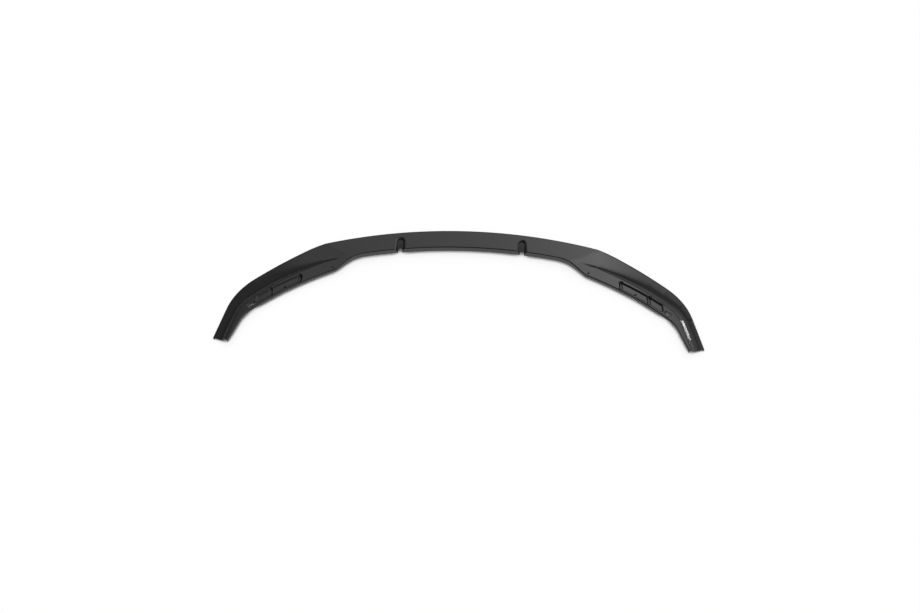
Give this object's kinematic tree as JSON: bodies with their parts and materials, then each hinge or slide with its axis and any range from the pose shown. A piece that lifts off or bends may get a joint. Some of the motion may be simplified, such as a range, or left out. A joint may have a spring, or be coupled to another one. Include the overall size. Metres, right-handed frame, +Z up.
{
  "type": "front splitter lip",
  "caption": "Bowed thin-walled front splitter lip: a flat nose bar with rear screw notches, swept-back wings rising to raised screw flanges, and short legs, for under a car's front bumper.",
  "frame": {"origin": "on the ground plane that the skirt stands on, under the middle of the part's overall box", "axes": "+X across the car, +Y to the front of the car, +Z up"},
  "size_m": [1.6564, 0.5174, 0.036],
  "materials": {
    "laminate": "black carbon twill laminate under a gloss clear coat"
  },
  "bodies": {
    "root": {"splitter_lip": "laminate"}
  },
  "joints": []
}
